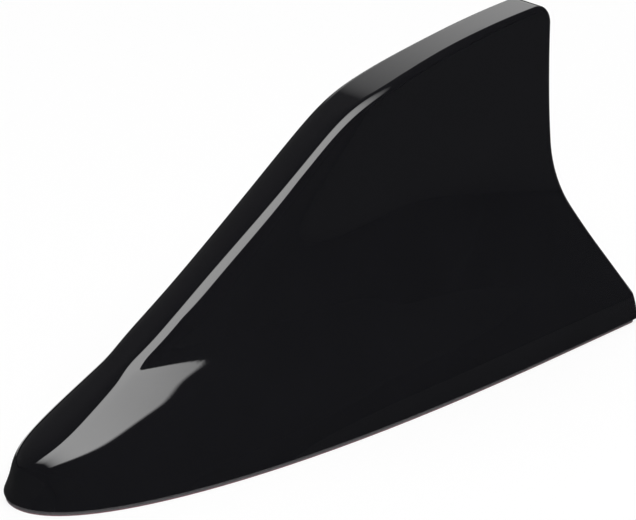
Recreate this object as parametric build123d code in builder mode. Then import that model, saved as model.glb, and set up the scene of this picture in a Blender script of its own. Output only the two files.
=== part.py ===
import math
import os

from build123d import *

os.makedirs("parts", exist_ok=True)

# Driving dimensions of the aerial, in millimetres. The nose points along -X, the tail along +X and
# the underside of the peel-off film lies at height zero.
cover_length = 160.0
cover_width = 47.0
cover_height = 70.6
tail_width = 39.2
cover_wall = 2.2
spine_edge_radius = 1.5
crest_corner_radius = 4.5
liner_thickness = 0.2
pad_thickness = 0.8
pad_inset = 0.3
plate_thickness = 2.4
plate_clearance = 0.3
rebate_wall = 1.3
boss_diameter = 6.4
base_screw_diameter = 2.4
base_screw_length = 9.0
lead_bore_diameter = 4.2
board_thickness = 1.2
board_standoff = 4.0
antenna_thickness = 1.0
trace_thickness = 0.1

# Heights and ends that the stacked pieces share.
rim_height = liner_thickness + pad_thickness
ledge_height = rim_height + plate_thickness
board_floor = ledge_height + board_standoff
board_top = board_floor + board_thickness
nose_x = -cover_length / 2
tail_x = cover_length / 2
half_width = cover_width / 2

# Table of offsets of the moulded cover, one row for each level: height as a share of the cover height,
# front of the section as a share of the length behind the nose, front fullness and greatest half width
# as shares of half the cover width, and tail half width as a share of half the tail width.
offset_rows = (
    (0.0000, 0.0000, 0.638, 1.000, 1.000),
    (0.0567, 0.0085, 0.596, 0.970, 0.975),
    (0.1133, 0.0180, 0.536, 0.915, 0.903),
    (0.1629, 0.0290, 0.460, 0.851, 0.821),
    (0.2195, 0.0670, 0.389, 0.768, 0.730),
    (0.2975, 0.1300, 0.322, 0.656, 0.617),
    (0.3966, 0.2025, 0.276, 0.536, 0.512),
    (0.5241, 0.2888, 0.255, 0.415, 0.414),
    (0.6799, 0.3938, 0.243, 0.309, 0.326),
    (0.8640, 0.5200, 0.230, 0.227, 0.259),
    (1.0907, 0.6756, 0.212, 0.173, 0.196),
)
widest_share = 0.525
widest_drift = 0.22
front_reach = 0.6
rear_reach = 0.36
rear_bow = 1.3
tail_overrun = 6.0


def level_outline(row, inset, rear_x):
    """Draw a level section of the cover as a closed outline, set in from the outer skin."""
    height, front, fullness, middle, rear = row
    front_x = nose_x + front * cover_length + inset
    middle_x = nose_x + (widest_share + widest_drift * height) * cover_length
    front_y = fullness * half_width - inset
    middle_y = middle * half_width - inset
    rear_y = rear * tail_width / 2 - inset
    front_handle = middle_x - front_reach * (middle_x - front_x)
    rear_handle = rear_reach * (rear_x - middle_x)
    rear_rise = rear_bow * rear_reach * (middle_y - rear_y)
    for side in (1, -1):
        Bezier((front_x, 0), (front_x, side * front_y), (front_handle, side * middle_y),
               (middle_x, side * middle_y))
        Bezier((middle_x, side * middle_y), (middle_x + rear_handle, side * middle_y),
               (rear_x - rear_handle, side * (rear_y + rear_rise)), (rear_x, side * rear_y))
    Line((rear_x, rear_y), (rear_x, -rear_y))


def share_point(along, up):
    """Turn shares of the length and of the height into a point of the side view."""
    return (nose_x + along * cover_length, rim_height + up * cover_height)


# Side view of the fin: leading edge, crest, trailing edge and tail foot.
profile_floor = rim_height - 10.0
lead_start = share_point(-0.025, 0.0892)
lead_bend = share_point(0.1706, 0.3200)
crest_kink = share_point(0.5375, 0.8518)
crest_middle = share_point(0.7125, 0.9518)
crest_end = share_point(0.9194, 1.0028)
trail_waist = share_point(0.9000, 0.4745)
tail_foot = share_point(0.9960, 0.0780)
foot_lean = (tail_foot[0] - trail_waist[0]) / (trail_waist[1] - tail_foot[1])
foot_floor = (tail_foot[0] + foot_lean * (tail_foot[1] - profile_floor), profile_floor)
profile_corners = (
    (lead_bend, 90.0),
    (crest_kink, 42.0),
    (crest_end, crest_corner_radius),
    (trail_waist, 25.0),
)


def side_profile():
    """Draw the side view of the fin with its corners still sharp."""
    Line((lead_start[0], profile_floor), lead_start)
    Line(lead_start, lead_bend)
    Line(lead_bend, crest_kink)
    ThreePointArc(crest_kink, crest_middle, crest_end)
    Line(crest_end, trail_waist)
    Line(trail_waist, foot_floor)
    Line(foot_floor, (lead_start[0], profile_floor))


# The tail skirt is a flat drafted face from the rim up to the tail foot.
skirt_lean = (tail_x - tail_foot[0]) / (tail_foot[1] - rim_height)
skirt_top = rim_height + cover_height


def skirt_waste(inset):
    """Draw the side view of what the tail skirt's face cuts away."""
    floor_x = tail_x + skirt_lean * (rim_height - profile_floor) - inset
    top_x = tail_x - skirt_lean * (skirt_top - rim_height) - inset
    far_x = tail_x + cover_length
    Polyline((floor_x, profile_floor), (top_x, skirt_top), (far_x, skirt_top),
             (far_x, profile_floor), close=True)


def rim_outline(inset):
    """Draw the closed outline of a flat piece that follows the cover's rim."""
    level_outline(offset_rows[0], inset, tail_x - inset)


# Outer form of the cover, with the spine and trailing edges rounded before the tail is cut square.
with BuildPart() as outer_form:
    for row in offset_rows:
        with BuildSketch(Plane.XY.offset(rim_height + row[0] * cover_height)):
            with BuildLine():
                level_outline(row, 0.0, tail_x + tail_overrun)
            make_face()
    loft()
    with BuildSketch(Plane.XZ) as outer_side:
        with BuildLine():
            side_profile()
        make_face()
        for corner, radius in profile_corners:
            fillet(outer_side.vertices().sort_by_distance((corner[0], corner[1], 0))[0], radius)
    extrude(amount=cover_width, both=True, mode=Mode.INTERSECT)
    band_edges = outer_form.edges().filter_by(lambda e: abs(e.position_at(0).Y + e.position_at(1).Y) > 0.01)
    fillet(band_edges, spine_edge_radius)
    with BuildSketch(Plane.XZ):
        with BuildLine():
            skirt_waste(0.0)
        make_face()
    extrude(amount=cover_width, both=True, mode=Mode.SUBTRACT)

# Places of the screw bosses, of the antenna guides and of the lead outlet.
boss_places = [
    (nose_x + along * cover_length, side * across * half_width)
    for along, across in ((0.225, 0.40), (0.885, 0.50))
    for side in (-1, 1)
]
guide_places = [nose_x + along * cover_length for along in (0.60, 0.76)]
guide_thickness = 1.4
guide_floor = rim_height + 0.70 * cover_height
guide_slot_top = rim_height + 0.87 * cover_height
guide_slot = antenna_thickness + 2 * trace_thickness + 0.3
lead_x = nose_x + 0.845 * cover_length

# Core of the mould: the space inside the cover, less its bosses and guides.
with BuildPart() as cover_core:
    for row in offset_rows:
        with BuildSketch(Plane.XY.offset(rim_height + row[0] * cover_height)):
            with BuildLine():
                level_outline(row, cover_wall, tail_x + tail_overrun)
            make_face()
    loft()
    with BuildSketch(Plane.XZ) as inner_side:
        with BuildLine():
            side_profile()
        make_face()
        for corner, radius in profile_corners:
            fillet(inner_side.vertices().sort_by_distance((corner[0], corner[1], 0))[0], radius)
        offset(amount=-cover_wall, mode=Mode.REPLACE)
    extrude(amount=cover_width, both=True, mode=Mode.INTERSECT)
    with BuildSketch(Plane.XZ):
        with BuildLine():
            skirt_waste(cover_wall)
        make_face()
    extrude(amount=cover_width, both=True, mode=Mode.SUBTRACT)
    with BuildSketch(Plane.XY.offset(ledge_height)):
        with Locations(*boss_places):
            Circle(boss_diameter / 2)
    extrude(amount=cover_height, mode=Mode.SUBTRACT)
    with Locations(*[(x, 0, guide_floor) for x in guide_places]):
        Box(guide_thickness, cover_width, cover_height, mode=Mode.SUBTRACT,
            align=(Align.CENTER, Align.CENTER, Align.MIN))
    with Locations(*[(x, 0, guide_floor - 1) for x in guide_places]):
        Box(guide_thickness, guide_slot, guide_slot_top - guide_floor + 1,
            align=(Align.CENTER, Align.CENTER, Align.MIN))
    with BuildSketch(Plane.XY.offset(ledge_height)):
        with Locations(*boss_places):
            Circle(base_screw_diameter / 2 + 0.1)
    extrude(amount=base_screw_length)
    with BuildSketch(Plane.XY.offset(rim_height)):
        with BuildLine():
            rim_outline(rebate_wall)
        make_face()
    extrude(amount=plate_thickness)

# Moulded fin cover: one gloss shell with the spine band, the kinked crest and the hollow foot.
with BuildPart() as fin_cover:
    add(outer_form.part)
    add(cover_core.part, mode=Mode.SUBTRACT)
fin_cover.part.label = "fin_cover"
export_step(fin_cover.part, "parts/fin_cover.step")

# Base plate that closes the cover from below: it carries the board posts and takes the lead grommet.
screw_head_diameter = 5.4
screw_head_height = 1.2
head_pocket = screw_head_diameter / 2 + 0.3
lead_hole_radius = lead_bore_diameter / 2 + 1.9
board_front = nose_x + 0.275 * cover_length
board_rear = nose_x + 0.790 * cover_length
board_half = 0.51 * half_width
post_diameter = 4.6
post_inset = 3.0
post_places = [
    (x, side * (board_half - post_inset))
    for x in (board_front + post_inset, board_rear - post_inset)
    for side in (-1, 1)
]
board_screw_diameter = 1.8
board_screw_length = 5.0
rib_thickness = 1.2
rib_height = 1.6
with BuildPart() as base_plate:
    with BuildSketch(Plane.XY.offset(rim_height)):
        with BuildLine():
            rim_outline(rebate_wall + plate_clearance)
        make_face()
    extrude(amount=plate_thickness)
    with BuildSketch(Plane.XY.offset(ledge_height)):
        with Locations(*post_places):
            Circle(post_diameter / 2)
    extrude(amount=board_standoff)
    with BuildSketch(Plane.XY.offset(ledge_height)):
        for side in (-1, 1):
            with Locations(((board_front + board_rear) / 2, side * (board_half - post_inset))):
                Rectangle(board_rear - board_front - 2 * post_inset, rib_thickness)
        for x in (board_front + post_inset, board_rear - post_inset):
            with Locations((x, 0)):
                Rectangle(rib_thickness, 2 * (board_half - post_inset))
    extrude(amount=rib_height)
    with BuildSketch(Plane.XY.offset(board_floor)):
        with Locations(*post_places):
            Circle(board_screw_diameter / 2 + 0.1)
    extrude(amount=-board_screw_length, mode=Mode.SUBTRACT)
    with BuildSketch(Plane.XY.offset(rim_height)):
        with Locations(*boss_places):
            Circle(base_screw_diameter / 2 + 0.3)
        with Locations((lead_x, 0)):
            Circle(lead_hole_radius)
    extrude(amount=plate_thickness, mode=Mode.SUBTRACT)
    with BuildSketch(Plane.XY.offset(rim_height)):
        with Locations(*boss_places):
            Circle(head_pocket)
    extrude(amount=screw_head_height, mode=Mode.SUBTRACT)
base_plate.part.label = "base_plate"
export_step(base_plate.part, "parts/base_plate.step")

# Foam mounting pad, die cut to the rim, with a round window for the lead grommet.
lead_window = lead_hole_radius + 2.6
pad_corner_radius = 2.0
with BuildPart() as adhesive_pad:
    with BuildSketch(Plane.XY.offset(liner_thickness)) as pad_sketch:
        with BuildLine():
            rim_outline(pad_inset)
        make_face()
        fillet(pad_sketch.vertices().group_by(Axis.X)[-1], pad_corner_radius)
        with Locations((lead_x, 0)):
            Circle(lead_window, mode=Mode.SUBTRACT)
    extrude(amount=pad_thickness)
adhesive_pad.part.label = "adhesive_pad"
export_step(adhesive_pad.part, "parts/adhesive_pad.step")

# Peel-off film under the foam pad.
with BuildPart() as release_liner:
    with BuildSketch() as liner_sketch:
        with BuildLine():
            rim_outline(pad_inset)
        make_face()
        fillet(liner_sketch.vertices().group_by(Axis.X)[-1], pad_corner_radius)
        with Locations((lead_x, 0)):
            Circle(lead_window, mode=Mode.SUBTRACT)
    extrude(amount=liner_thickness)
release_liner.part.label = "release_liner"
export_step(release_liner.part, "parts/release_liner.step")

# Four pan head screws that hold the base plate to the cover's bosses.
drive_width = 0.7
drive_depth = 0.6
with BuildPart() as base_screws:
    with BuildSketch(Plane.XY.offset(rim_height)):
        with Locations(*boss_places):
            Circle(screw_head_diameter / 2)
    extrude(amount=screw_head_height)
    with BuildSketch(Plane.XY.offset(rim_height + screw_head_height)):
        with Locations(*boss_places):
            Circle(base_screw_diameter / 2)
    extrude(amount=base_screw_length)
    with BuildSketch(Plane.XY.offset(rim_height)):
        with Locations(*boss_places):
            Rectangle(0.6 * screw_head_diameter, drive_width)
            Rectangle(drive_width, 0.6 * screw_head_diameter)
    extrude(amount=drive_depth, mode=Mode.SUBTRACT)
base_screws.part.label = "base_screws"
export_step(base_screws.part, "parts/base_screws.step")

# Rubber grommet that lines the lead outlet, with a flange on each side of the base plate.
flange_radius = lead_hole_radius + 1.5
lower_flange = rim_height - 0.3
upper_flange = 1.6
grommet_radius = lead_hole_radius - 0.3
with BuildPart() as lead_grommet:
    with BuildSketch(Plane.XY.offset(rim_height - lower_flange)):
        with Locations((lead_x, 0)):
            Circle(flange_radius)
    extrude(amount=lower_flange)
    with BuildSketch(Plane.XY.offset(rim_height)):
        with Locations((lead_x, 0)):
            Circle(grommet_radius)
    extrude(amount=plate_thickness)
    with BuildSketch(Plane.XY.offset(ledge_height)):
        with Locations((lead_x, 0)):
            Circle(flange_radius)
    extrude(amount=upper_flange, taper=20)
    with BuildSketch(Plane.XY.offset(rim_height - lower_flange)):
        with Locations((lead_x, 0)):
            Circle(lead_bore_diameter / 2)
    extrude(amount=lower_flange + plate_thickness + upper_flange, mode=Mode.SUBTRACT)
lead_grommet.part.label = "lead_grommet"
export_step(lead_grommet.part, "parts/lead_grommet.step")

# Main circuit board on its four posts, slotted for the tabs of the antenna plate.
tab_places = [nose_x + along * cover_length for along in (0.53, 0.72)]
tab_width = 5.0
tab_gap = 0.2
with BuildPart() as main_board:
    with BuildSketch(Plane.XY.offset(board_floor)) as board_sketch:
        with Locations(((board_front + board_rear) / 2, 0)):
            RectangleRounded(board_rear - board_front, 2 * board_half, 1.5)
        with Locations(*post_places):
            Circle(board_screw_diameter / 2 + 0.2, mode=Mode.SUBTRACT)
        with Locations(*[(x, 0) for x in tab_places]):
            Rectangle(tab_width + 2 * tab_gap, antenna_thickness + 2 * tab_gap, mode=Mode.SUBTRACT)
    extrude(amount=board_thickness)
main_board.part.label = "main_board"
export_step(main_board.part, "parts/main_board.step")

# Pan head screws that hold the main board to its posts.
board_head_diameter = 3.6
board_head_height = 1.3
with BuildPart() as board_screws:
    with BuildSketch(Plane.XY.offset(board_top)):
        with Locations(*post_places):
            Circle(board_head_diameter / 2)
    extrude(amount=board_head_height)
    with BuildSketch(Plane.XY.offset(board_top)):
        with Locations(*post_places):
            Circle(board_screw_diameter / 2)
    extrude(amount=-(board_thickness + board_screw_length - 0.5))
    with BuildSketch(Plane.XY.offset(board_top + board_head_height)):
        with Locations(*post_places):
            Rectangle(0.6 * board_head_diameter, 0.5)
            Rectangle(0.5, 0.6 * board_head_diameter)
    extrude(amount=-0.5, mode=Mode.SUBTRACT)
board_screws.part.label = "board_screws"
export_step(board_screws.part, "parts/board_screws.step")

# Upright antenna plate that stands in the blade of the fin, held by the guides at its top edge.
plate_front = nose_x + 0.475 * cover_length
plate_rear_low = nose_x + 0.765 * cover_length
plate_rear_high = nose_x + 0.815 * cover_length
antenna_points = [
    (plate_front, board_top),
    share_point(0.475, 0.655),
    share_point(0.560, 0.785),
    share_point(0.620, 0.820),
    share_point(0.815, 0.840),
    share_point(0.815, 0.420),
    share_point(0.765, 0.300),
    (plate_rear_low, board_top),
]
with BuildPart() as antenna_board:
    with BuildSketch(Plane.XZ):
        with BuildLine():
            Polyline(*antenna_points, close=True)
        make_face()
        for x in tab_places:
            with Locations((x, board_top)):
                Rectangle(tab_width, board_thickness + 0.8, align=(Align.CENTER, Align.MAX))
    extrude(amount=antenna_thickness / 2, both=True)
antenna_board.part.label = "antenna_board"
export_step(antenna_board.part, "parts/antenna_board.step")

# Copper meander on the face of the antenna plate, from its foot up to the crest.
bar_count = 9
bar_width = 1.6
trace_left = nose_x + 0.600 * cover_length
trace_right = nose_x + 0.735 * cover_length
trace_low = board_top + 3.0
trace_high = rim_height + 0.780 * cover_height
bar_pitch = (trace_high - trace_low) / (bar_count - 1)
with BuildPart() as antenna_trace:
    with BuildSketch(Plane.XZ.offset(antenna_thickness / 2)):
        for bar in range(bar_count):
            with Locations(((trace_left + trace_right) / 2, trace_low + bar * bar_pitch)):
                Rectangle(trace_right - trace_left, bar_width)
        for bar in range(bar_count - 1):
            link_x = trace_right - bar_width / 2 if bar % 2 == 0 else trace_left + bar_width / 2
            with Locations((link_x, trace_low + (bar + 0.5) * bar_pitch)):
                Rectangle(bar_width, bar_pitch)
        with Locations((trace_left + bar_width / 2, board_top)):
            Rectangle(bar_width, trace_low - board_top, align=(Align.CENTER, Align.MIN))
    extrude(amount=trace_thickness)
antenna_trace.part.label = "antenna_trace"
export_step(antenna_trace.part, "parts/antenna_trace.step")

# Tinned shield can over the amplifier.
can_front = board_front + 8.0
can_rear = plate_front - 2.0
can_half = 0.70 * board_half
can_height = 5.0
can_wall = 0.4
with BuildPart() as shield_can:
    with BuildSketch(Plane.XY.offset(board_top)):
        with Locations(((can_front + can_rear) / 2, 0)):
            RectangleRounded(can_rear - can_front, 2 * can_half, 1.2)
    extrude(amount=can_height)
    with BuildSketch(Plane.XY.offset(board_top)):
        with Locations(((can_front + can_rear) / 2, 0)):
            RectangleRounded(can_rear - can_front - 2 * can_wall, 2 * (can_half - can_wall), 0.8)
    extrude(amount=can_height - can_wall, mode=Mode.SUBTRACT)
shield_can.part.label = "shield_can"
export_step(shield_can.part, "parts/shield_can.step")

# Amplifier chip under the shield can.
chip_size = 5.0
chip_height = 1.4
can_middle = (can_front + can_rear) / 2
with BuildPart() as amplifier_chip:
    with Locations((can_middle, 0, board_top)):
        Box(chip_size, chip_size, chip_height, align=(Align.CENTER, Align.CENTER, Align.MIN))
    chamfer(amplifier_chip.edges().group_by(Axis.Z)[-1], 0.2)
amplifier_chip.part.label = "amplifier_chip"
export_step(amplifier_chip.part, "parts/amplifier_chip.step")

# Ceramic chip capacitors around the amplifier.
with BuildPart() as chip_capacitors:
    with Locations((can_middle, 0, board_top)):
        with GridLocations(chip_size + 4.0, can_half - 2.0, 2, 3):
            Box(2.0, 1.2, 1.0, align=(Align.CENTER, Align.CENTER, Align.MIN))
chip_capacitors.part.label = "chip_capacitors"
export_step(chip_capacitors.part, "parts/chip_capacitors.step")

# Two wound chokes, one on each side of the antenna plate.
choke_radius = 3.0
choke_height = 5.0
choke_neck = 1.6
choke_flange = 1.0
choke_x = plate_front + 6.5
choke_y = 0.58 * board_half
choke_places = [(choke_x, side * choke_y) for side in (-1, 1)]
with BuildPart() as choke_cores:
    with BuildSketch(Plane.XY.offset(board_top)):
        with Locations(*choke_places):
            Circle(choke_radius)
    extrude(amount=choke_flange)
    with BuildSketch(Plane.XY.offset(board_top + choke_flange)):
        with Locations(*choke_places):
            Circle(choke_neck)
    extrude(amount=choke_height - 2 * choke_flange)
    with BuildSketch(Plane.XY.offset(board_top + choke_height - choke_flange)):
        with Locations(*choke_places):
            Circle(choke_radius)
    extrude(amount=choke_flange)
choke_cores.part.label = "choke_cores"
export_step(choke_cores.part, "parts/choke_cores.step")

# Copper windings in the waists of the chokes.
with BuildPart() as choke_windings:
    with BuildSketch(Plane.XY.offset(board_top + choke_flange)):
        with Locations(*choke_places):
            Circle(choke_radius - 0.4)
            Circle(choke_neck + 0.05, mode=Mode.SUBTRACT)
    extrude(amount=choke_height - 2 * choke_flange)
choke_windings.part.label = "choke_windings"
export_step(choke_windings.part, "parts/choke_windings.step")

# Two electrolytic capacitors on moulded bases.
can_capacitor_radius = 2.5
can_capacitor_height = 5.4
can_capacitor_base = 0.8
can_capacitor_x = plate_front + 18.0
with BuildPart() as can_capacitors:
    for side in (-1, 1):
        with Locations((can_capacitor_x, side * choke_y, board_top)):
            Box(2 * can_capacitor_radius + 0.3, 2 * can_capacitor_radius + 0.3, can_capacitor_base,
                align=(Align.CENTER, Align.CENTER, Align.MIN))
            Cylinder(can_capacitor_radius, can_capacitor_height,
                     align=(Align.CENTER, Align.CENTER, Align.MIN))
can_capacitors.part.label = "can_capacitors"
export_step(can_capacitors.part, "parts/can_capacitors.step")

# Nylon socket for the aerial lead, open towards the tail.
socket_length = 8.0
socket_width = 5.2
socket_height = 5.0
socket_wall = 0.8
socket_x = plate_rear_low - 13.0
with BuildPart() as lead_socket:
    with Locations((socket_x, choke_y, board_top)):
        Box(socket_length, socket_width, socket_height, align=(Align.CENTER, Align.CENTER, Align.MIN))
    with Locations((socket_x + socket_wall, choke_y, board_top + socket_wall)):
        Box(socket_length, socket_width - 2 * socket_wall, socket_height - 2 * socket_wall,
            mode=Mode.SUBTRACT, align=(Align.CENTER, Align.CENTER, Align.MIN))
lead_socket.part.label = "lead_socket"
export_step(lead_socket.part, "parts/lead_socket.step")

# Two contact pins that stand out of the socket's back wall.
pin_size = 0.6
pin_pitch = 1.8
with BuildPart() as socket_pins:
    for side in (-1, 1):
        with Locations((socket_x - socket_length / 2 + socket_wall, choke_y + side * pin_pitch / 2,
                        board_top + socket_height / 2)):
            Box(socket_length - 2 * socket_wall, pin_size, pin_size,
                align=(Align.MIN, Align.CENTER, Align.CENTER))
socket_pins.part.label = "socket_pins"
export_step(socket_pins.part, "parts/socket_pins.step")
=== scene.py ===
import math

import bmesh
import bpy
import numpy as np
from bpy.props import FloatProperty, FloatVectorProperty, PointerProperty
from mathutils import Matrix, Vector


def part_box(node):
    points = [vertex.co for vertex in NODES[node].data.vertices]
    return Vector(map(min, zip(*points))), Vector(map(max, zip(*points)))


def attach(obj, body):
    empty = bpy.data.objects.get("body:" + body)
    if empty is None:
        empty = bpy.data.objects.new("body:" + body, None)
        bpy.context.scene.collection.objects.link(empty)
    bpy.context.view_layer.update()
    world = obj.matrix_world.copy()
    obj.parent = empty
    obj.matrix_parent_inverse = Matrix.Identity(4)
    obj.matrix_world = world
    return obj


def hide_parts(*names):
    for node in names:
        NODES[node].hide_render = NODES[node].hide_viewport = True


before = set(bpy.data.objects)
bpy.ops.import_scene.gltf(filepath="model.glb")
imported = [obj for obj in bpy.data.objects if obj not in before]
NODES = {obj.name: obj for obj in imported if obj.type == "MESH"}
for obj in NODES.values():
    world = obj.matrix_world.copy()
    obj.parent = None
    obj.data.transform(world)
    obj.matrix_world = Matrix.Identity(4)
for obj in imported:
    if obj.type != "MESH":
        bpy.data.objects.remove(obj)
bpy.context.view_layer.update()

bl_info = {
    "name": "Shark Fin Aerial",
    "version": (1, 0, 0),
    "blender": (4, 5, 0),
    "location": "View3D > Sidebar > Aerial",
    "description": "Models and dresses a stick-on shark fin roof aerial and sets its studio stage",
    "category": "Object",
}

MILLIMETRE = 0.001

# Sizes of the cover in millimetres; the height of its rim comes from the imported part.
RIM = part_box("fin_cover")[0].z / MILLIMETRE
LENGTH = 160.0
HEIGHT = 70.6
WIDTH = 47.0
TAIL_WIDTH = 39.2

# Below this level the wall is thin, to seat the base plate; it thickens over the blend above it.
LEDGE = RIM + 2.4
LEDGE_BLEND = 0.6

# Table of offsets of the cover, one row for each level: height as a share of the cover's height, front of
# the section as a share of the length behind the nose, front fullness and greatest half width as shares of
# half the width, tail half width as a share of half the tail width, and reach of the widest part forward.
LEVELS = np.array((
    (0.0000, 0.0000, 0.638, 1.000, 1.000, 0.600),
    (0.0567, 0.0040, 0.580, 0.967, 0.975, 0.507),
    (0.1133, 0.0072, 0.490, 0.905, 0.903, 0.453),
    (0.1629, 0.0218, 0.367, 0.835, 0.821, 0.494),
    (0.2195, 0.0560, 0.214, 0.747, 0.730, 0.608),
    (0.2570, 0.0759, 0.071, 0.691, 0.673, 0.690),
    (0.2975, 0.1005, 0.000, 0.636, 0.617, 0.689),
    (0.3440, 0.1433, 0.142, 0.579, 0.563, 0.522),
    (0.3966, 0.1983, 0.256, 0.521, 0.512, 0.471),
    (0.5241, 0.3014, 0.335, 0.405, 0.414, 0.479),
    (0.6799, 0.4090, 0.366, 0.303, 0.326, 0.511),
    (0.8640, 0.5254, 0.319, 0.225, 0.259, 0.563),
    (1.0907, 0.6756, 0.212, 0.173, 0.196, 0.600),
))

# Where along the length a section is widest at the rim, and how far that moves back over the whole height.
WIDEST_SHARE = 0.525
WIDEST_DRIFT = 0.22

# Reach of the handles of a section's rear curve, the bow of that curve, and the overrun behind the tail.
REAR_REACH = 0.36
REAR_BOW = 1.3
TAIL_OVERRUN = 6.0

# Steps that solve a section's curve for one place along it.
CURVE_STEPS = 9


def side_point(along, up):
    """A point of the side view from shares of the cover's length and height."""
    return np.array((LENGTH * (along - 0.5), RIM + HEIGHT * up))


# Corners of the side view, from the nose over the crest to the tail.
NOSE_RIM = side_point(0.0, 0.0)
NOSE_TOP = side_point(0.03, 0.17)
LEAD_START = side_point(-0.025, 0.0981)
LEAD_BEND = side_point(0.1706, 0.3226)
CREST_KINK = side_point(0.5375, 0.8681)
CREST_MIDDLE = side_point(0.7125, 0.9580)
CREST_END = side_point(0.9225, 1.0028)
TRAIL_WAIST = side_point(0.8985, 0.4745)
TAIL_FOOT = side_point(0.9960, 0.0780)
TAIL_RIM = side_point(1.0, 0.0)
BEND_RADIUS = 90.0
KINK_RADIUS = 42.0
WAIST_RADIUS = 25.0
FOOT_RADIUS = 2.0

# Where along the length the edge's round tightens from the spine's to the trailing edge's.
TIGHTENING = (40.0, 62.0)

# Ends of the crest's rear corner, and the top of the tail's foot.
CORNER_START = CREST_END - np.array((6.0, 0.6))
CORNER_END = CREST_END - np.array((0.2, 6.0))
FOOT_START = TAIL_FOOT + np.array((-1.0, 2.0))

# Stations of the skin along the side view, with the number of steps that lead to each.
STATIONS = (
    (NOSE_TOP, 34),
    (LEAD_BEND, 34),
    (CREST_KINK, 62),
    (CORNER_START, 56),
    (CREST_END, 14),
    (CORNER_END, 14),
    (TRAIL_WAIST, 26),
    (FOOT_START, 24),
    (TAIL_FOOT, 6),
    (TAIL_RIM, 8),
)

# Outlines in metres of the black cards beside the fin: each corner, and the height of the upright edge that
# goes on from it to the next corner.
DARK_CARDS = (
    (
        (-1.6, 1.6, 0.5),
        (-1.6, -1.6, 0.5),
        (1.6, -1.6, 0.5),
        (1.6, 0.0, 0.0),
        (-0.05, 0.0, 0.0),
        (-0.05, 1.6, 0.3),
    ),
    (
        (0.09, 0.012, 0.0),
        (1.6, 0.012, 0.3),
        (1.6, 0.25, 0.0),
        (0.24, 0.25, 0.0),
        (0.02, 0.03, 0.0),
        (0.09, 0.03, 0.0),
    ),
    (
        (-0.05, 0.25, 0.0),
        (1.6, 0.25, 0.3),
        (1.6, 1.6, 0.3),
        (-0.05, 1.6, 0.0),
    ),
)

# The soft boxes: azimuth, elevation and roll, and half of the angles that they span, all in degrees.
KEY_TURN = (-109.98, 58.67, 28.44)
KEY_SPREAD = (35.7, 25.0)
FILL_TURN = (0.0, 89.0, 0.0)
FILL_SPREAD = (50.0, 50.0)

# How steeply the key box dims towards its short ends, and the share of its half height that fades out.
KEY_LOSS = 1.1
KEY_FADE = 0.06

# The photograph's camera: its place in metres, and the azimuth and elevation that it looks from in degrees.
CAMERA_PLACE = (-0.6607, -0.6872, 0.4160)
CAMERA_AZIMUTH = -44.0
CAMERA_ELEVATION = 22.0


class Spline:
    """A smooth curve through knots, with no bend at its ends."""

    def __init__(self, knots, values):
        self.knots = knots
        self.values = values
        gaps = np.diff(knots)
        inner = np.arange(1, len(knots) - 1)
        system = np.eye(len(knots))
        system[inner, inner - 1] = gaps[:-1]
        system[inner, inner] = 2.0 * (gaps[:-1] + gaps[1:])
        system[inner, inner + 1] = gaps[1:]
        pull = np.zeros(len(knots))
        pull[inner] = 6.0 * np.diff(np.diff(values) / gaps)
        self.bends = np.linalg.solve(system, pull)

    def __call__(self, place):
        place = np.clip(place, self.knots[0], self.knots[-1])
        low = np.clip(np.searchsorted(self.knots, place) - 1, 0, len(self.knots) - 2)
        gap = self.knots[low + 1] - self.knots[low]
        after = (place - self.knots[low]) / gap
        before = 1.0 - after
        bow = (before**3 - before) * self.bends[low] + (after**3 - after) * self.bends[low + 1]
        return before * self.values[low] + after * self.values[low + 1] + bow * gap**2 / 6.0

    def slope(self, place, step):
        """How steeply the curve rises there."""
        return (self(place + step) - self(place - step)) / (2.0 * step)


def corner_arc(before, corner, after, radius, steps=24):
    """Points of the arc that rounds a corner of a line."""
    first = (before - corner) / np.linalg.norm(before - corner)
    second = (after - corner) / np.linalg.norm(after - corner)
    half = np.arccos(first @ second) / 2.0
    middle = corner + (first + second) / np.linalg.norm(first + second) * radius / np.sin(half)
    start = corner + first * radius / np.tan(half) - middle
    end = corner + second * radius / np.tan(half) - middle
    turn = np.arctan2(start[0] * end[1] - start[1] * end[0], start @ end)
    angles = np.arctan2(start[1], start[0]) + turn * np.linspace(0.0, 1.0, steps)
    return middle + radius * np.stack((np.cos(angles), np.sin(angles)), axis=1)


def arc_through(start, middle, end, steps=60):
    """Points of the arc over three points, evenly spaced along the length."""
    rows = np.array((middle - start, end - start))
    reach = 0.5 * np.array((middle @ middle - start @ start, end @ end - start @ start))
    centre = np.linalg.solve(rows, reach)
    radius = np.linalg.norm(start - centre)
    along = np.linspace(start[0], end[0], steps)
    return np.stack((along, centre[1] + np.sqrt(radius**2 - (along - centre[0]) ** 2)), axis=1)


def softened(heights, reach=6, passes=2):
    """A line's heights with its joins blended over that many places on either side."""
    width = 2 * reach + 1
    for _ in range(passes):
        padded = np.pad(heights, reach, mode="reflect", reflect_type="odd")
        heights = np.convolve(padded, np.full(width, 1.0 / width), mode="valid")
    return heights


def rounded(first, second, radius):
    """The larger of two distances, with a round of that radius where they meet."""
    corner = np.hypot(np.maximum(first + radius, 0.0), np.maximum(second + radius, 0.0))
    return np.minimum(np.maximum(first, second), -radius) + corner


def curve_time(share, guess, first, second):
    """Where along a cubic curve its run reaches a share, for handles at two other shares."""
    time = guess
    for _ in range(CURVE_STEPS):
        rest = 1.0 - time
        run = 3.0 * rest**2 * time * first + 3.0 * rest * time**2 * second + time**3
        rate = 3.0 * rest**2 * first + 6.0 * rest * time * (second - first) + 3.0 * time**2 * (1.0 - second)
        time = np.clip(time - (run - share) / (rate + 1e-9), 0.0, 1.0)
    return time


def no_inset(places):
    """The inset of the outer skin itself."""
    return 0.0


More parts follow.
